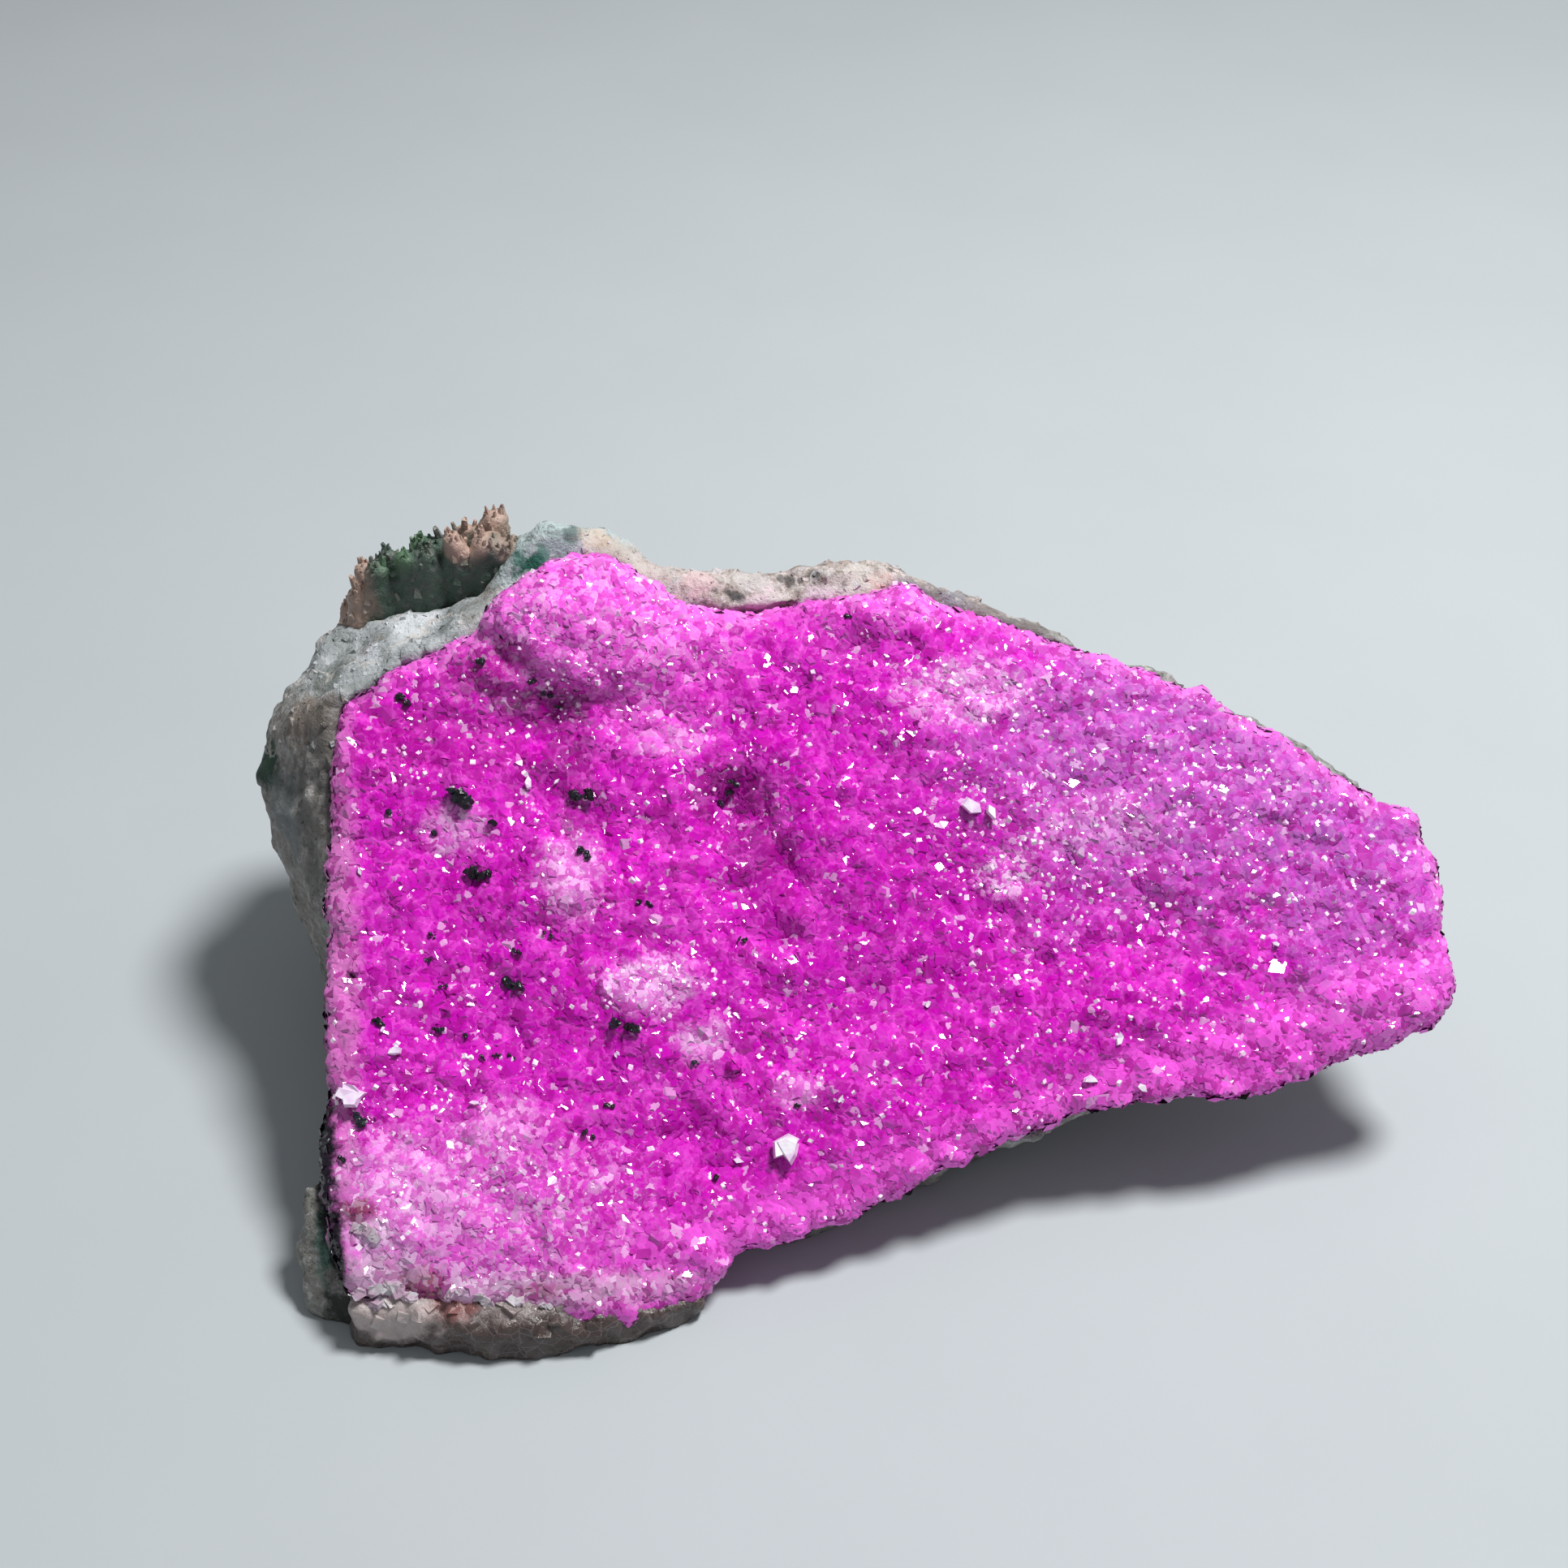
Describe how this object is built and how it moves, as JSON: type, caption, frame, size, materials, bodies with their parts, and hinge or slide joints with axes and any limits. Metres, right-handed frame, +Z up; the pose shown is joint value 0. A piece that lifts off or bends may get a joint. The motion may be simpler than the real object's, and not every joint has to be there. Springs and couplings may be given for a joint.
{
  "type": "cobaltoan calcite mineral specimen",
  "caption": "Loose hand specimen: a sloping plate of fine magenta crystal druse on a wedge of grey host rock, with a pale seam along its foot and a dark crystal ridge behind",
  "frame": {"origin": "middle of the specimen's box seen from above, on the surface it rests on", "axes": "+Z up, +X along the plate's long lower edge to the pointed end, +Y away from the viewer, behind the plate"},
  "size_m": [0.0647, 0.04, 0.0277],
  "materials": {
    "host_rock": "broken granular grey-green rock, matt with small glints",
    "pink_calcite": "sugary translucent magenta crystals with bright glinting faces",
    "pale_calcite": "colourless to tan translucent calcite, fractured",
    "dark_ridge": "brown and dark green crystal fingers, satin"
  },
  "bodies": {
    "root": {"matrix_rock": "host_rock", "pink_calcite_druse": "pink_calcite", "pale_calcite_seam": "pale_calcite", "rear_crystal_ridge": "dark_ridge"}
  },
  "joints": []
}
